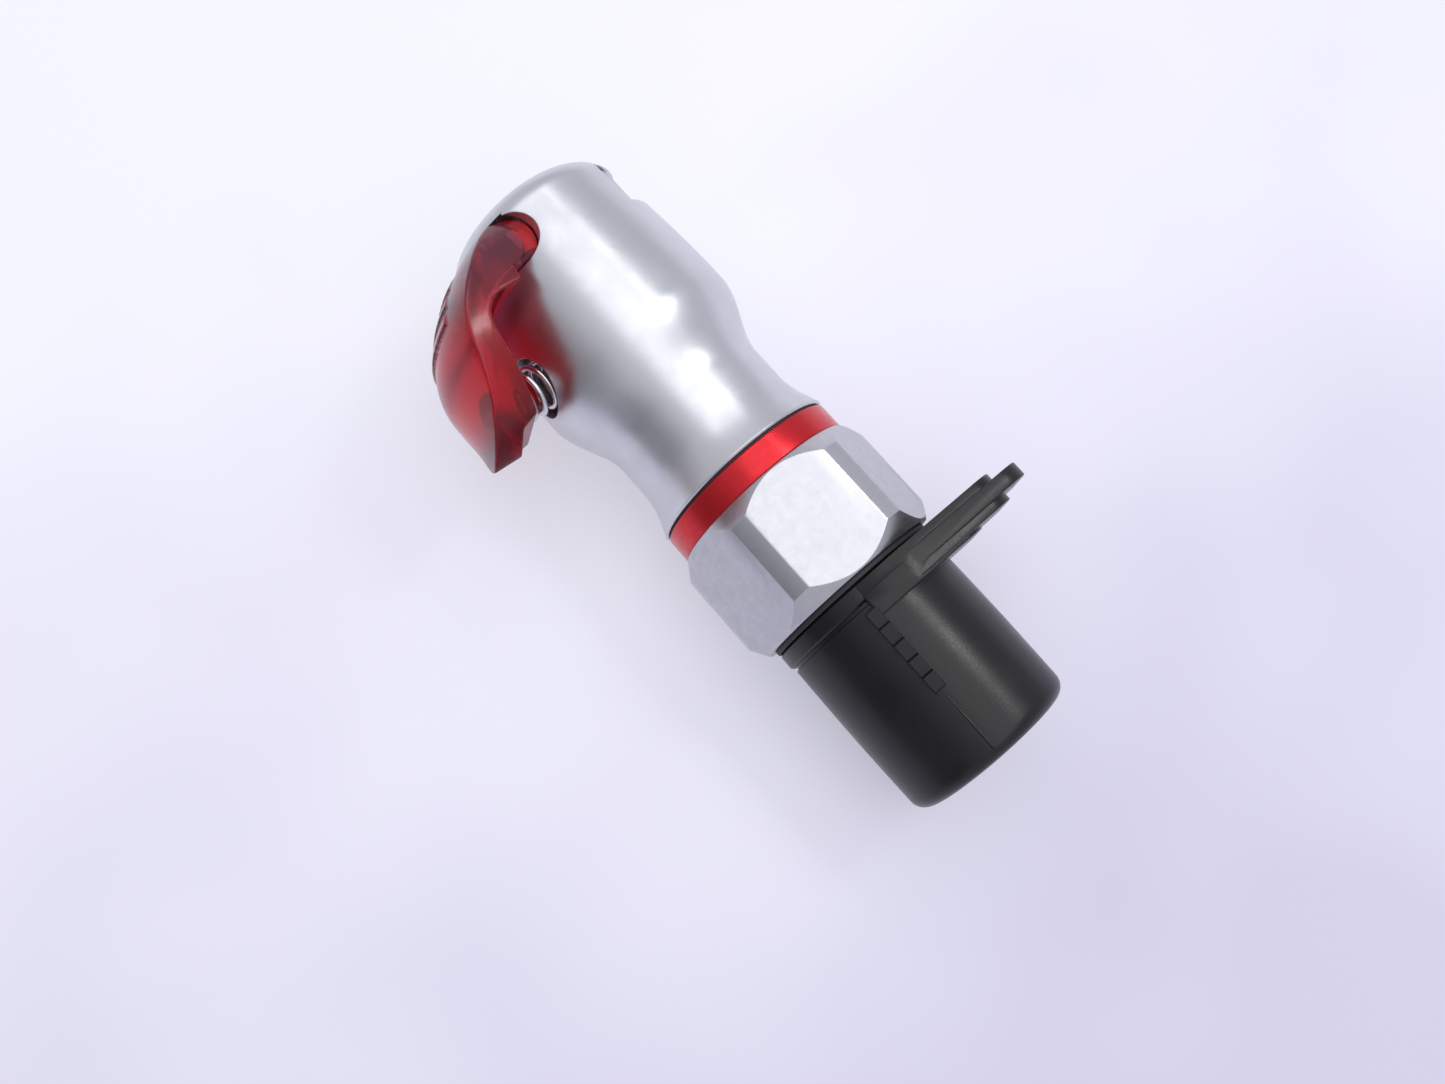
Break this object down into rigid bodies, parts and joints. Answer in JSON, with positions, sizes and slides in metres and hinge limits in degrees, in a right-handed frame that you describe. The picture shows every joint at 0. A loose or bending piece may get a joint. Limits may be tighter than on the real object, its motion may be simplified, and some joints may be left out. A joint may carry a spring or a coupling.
{
  "type": "compressed air quick coupling",
  "caption": "Push-button safety quick coupling for compressed air: bulbous aluminium head, thumb lever, hexagon, male pipe thread and pull-off thread cap.",
  "frame": {"origin": "centre of the plug mouth, on the flat front face of the head", "axes": "+X along the flow axis, out of the plug mouth; +Y towards the thumb button; +Z completes the right-handed set"},
  "size_m": [0.0935, 0.052, 0.0334],
  "materials": {
    "satin_aluminium": "satin anodised",
    "milled_aluminium": "bright milled",
    "red_button": "translucent gloss",
    "red_ring": "gloss red anodised",
    "steel": "ground",
    "spring_steel": "bright wire",
    "brass": "turned",
    "black_rubber": "matt",
    "black_cap": "satin moulded"
  },
  "bodies": {
    "coupling": {"head_body": "satin_aluminium", "button_spring": "spring_steel", "spring_washer": "steel", "plug_seal": "black_rubber", "inner_sleeve": "brass", "valve_seat": "brass", "seat_oring": "black_rubber", "valve_spring": "spring_steel", "stem_cage": "brass", "retaining_ring": "steel", "rear_connector": "milled_aluminium", "connector_oring": "black_rubber", "ring_gasket": "black_rubber", "colour_ring": "red_ring", "thread_washer": "black_rubber"},
    "button": {"push_button": "red_button", "latch_ring": "steel", "latch_pins": "steel"},
    "valve": {"valve_poppet": "brass", "poppet_face": "black_rubber"},
    "cap": {"protective_cap": "black_cap"}
  },
  "joints": [
    {"name": "button_press", "type": "slide", "parent": "coupling", "child": "button", "axis": [0, -1, 0], "range_m": [0, 0.0022], "stiffness_N_per_m": 1800, "springref_m": -0.004, "deforming": ["button_spring"]},
    {"name": "valve_open", "type": "slide", "parent": "coupling", "child": "valve", "axis": [-1, 0, 0], "range_m": [0, 0.0036], "stiffness_N_per_m": 900, "springref_m": -0.003, "deforming": ["valve_spring"]},
    {"name": "cap_pull", "type": "slide", "parent": "coupling", "child": "cap", "axis": [-1, 0, 0], "range_m": [0, 0.03]}
  ]
}
